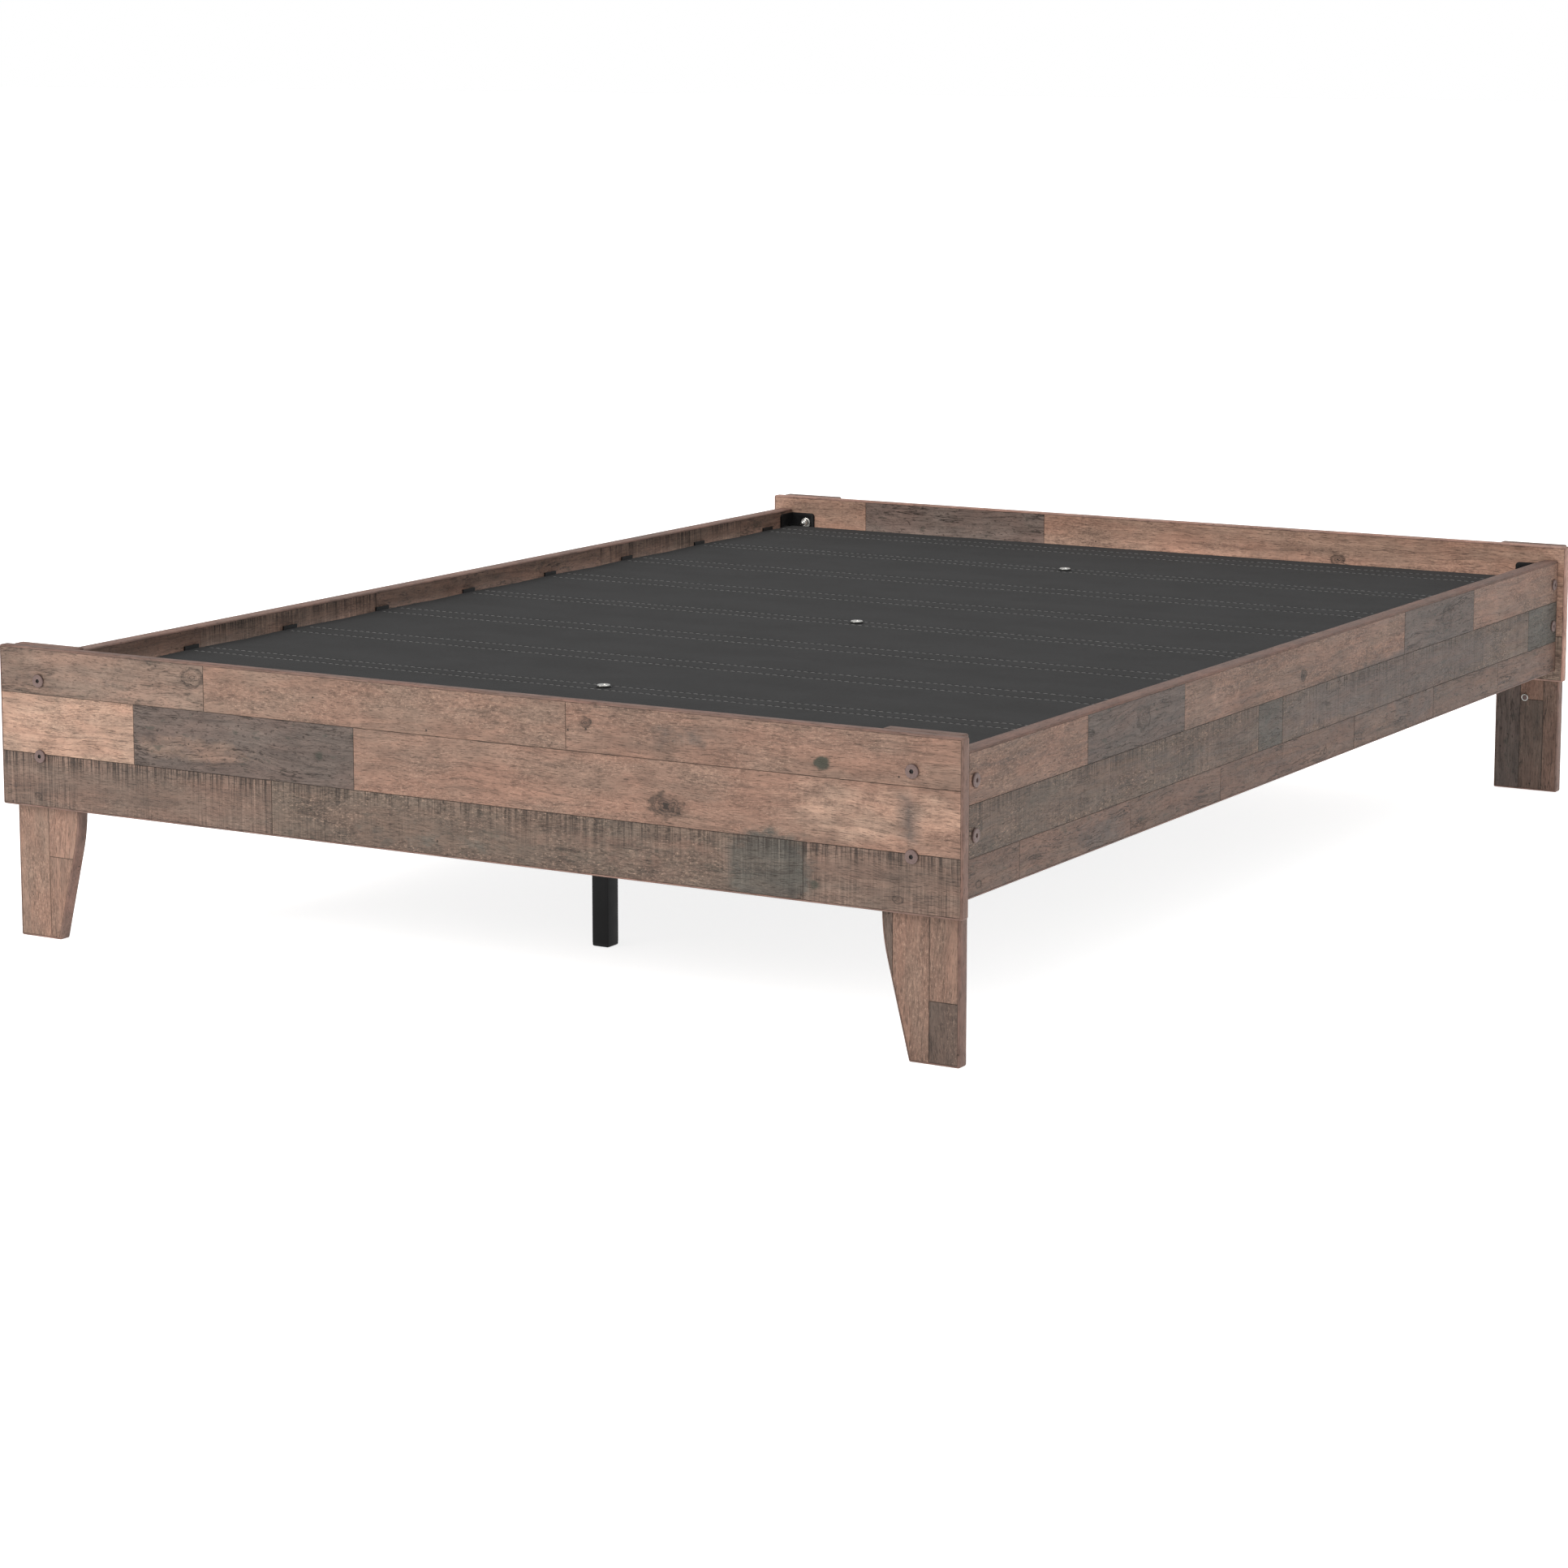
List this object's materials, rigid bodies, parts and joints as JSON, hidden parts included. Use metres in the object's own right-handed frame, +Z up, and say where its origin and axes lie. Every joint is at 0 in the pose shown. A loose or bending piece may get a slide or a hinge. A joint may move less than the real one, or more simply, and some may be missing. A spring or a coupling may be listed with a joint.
{
  "type": "wooden platform bed frame",
  "caption": "Low rustic plank bed frame with flat foot and head panels, side rails, flat wooden legs and a stitched cloth deck on steel cross bars.",
  "frame": {"origin": "on the floor under the middle of the frame, half way between its sides and between its two ends", "axes": "+Z up, +X towards the right rail seen from the foot, +Y along the bed from the foot panel to the head panel"},
  "size_m": [1.432, 2.047, 0.392],
  "materials": {
    "board_wood": "matt",
    "leg_wood": "matt",
    "black_steel": "satin",
    "bronze_bolt": "satin",
    "zinc_steel": "bright",
    "black_plastic": "matt",
    "deck_fabric": "matt"
  },
  "bodies": {
    "root": {"foot_panel": "board_wood", "head_panel": "board_wood", "side_rail_left": "board_wood", "side_rail_right": "board_wood", "foot_leg_left": "leg_wood", "foot_leg_right": "leg_wood", "head_leg_left": "leg_wood", "head_leg_right": "leg_wood", "corner_bracket_foot_left": "black_steel", "corner_bracket_foot_right": "black_steel", "corner_bracket_head_left": "black_steel", "corner_bracket_head_right": "black_steel", "foot_panel_bolts": "bronze_bolt", "head_panel_bolts": "bronze_bolt", "side_rail_bolts": "bronze_bolt", "headboard_bolts": "bronze_bolt", "foot_panel_nuts": "zinc_steel", "head_panel_nuts": "zinc_steel", "panel_nut_washers": "zinc_steel", "side_rail_nuts": "zinc_steel", "headboard_nuts": "zinc_steel", "pocket_screws_left": "zinc_steel", "pocket_screws_right": "zinc_steel", "centre_bolts": "zinc_steel", "centre_leg_plugs": "zinc_steel", "bar_pockets_left": "black_steel", "bar_pockets_right": "black_steel", "cross_bar_1": "black_steel", "cross_bar_2": "black_steel", "cross_bar_3": "black_steel", "cross_bar_4": "black_steel", "cross_bar_5": "black_steel", "cross_bar_6": "black_steel", "cross_bar_7": "black_steel", "cross_bar_8": "black_steel", "cross_bar_9": "black_steel", "centre_leg_1": "black_steel", "centre_leg_2": "black_steel", "centre_leg_3": "black_steel", "bar_end_caps": "black_plastic", "centre_leg_caps": "black_plastic", "centre_bolt_washers": "black_plastic", "deck_cloth": "deck_fabric", "bar_sleeves": "deck_fabric"}
  },
  "joints": []
}
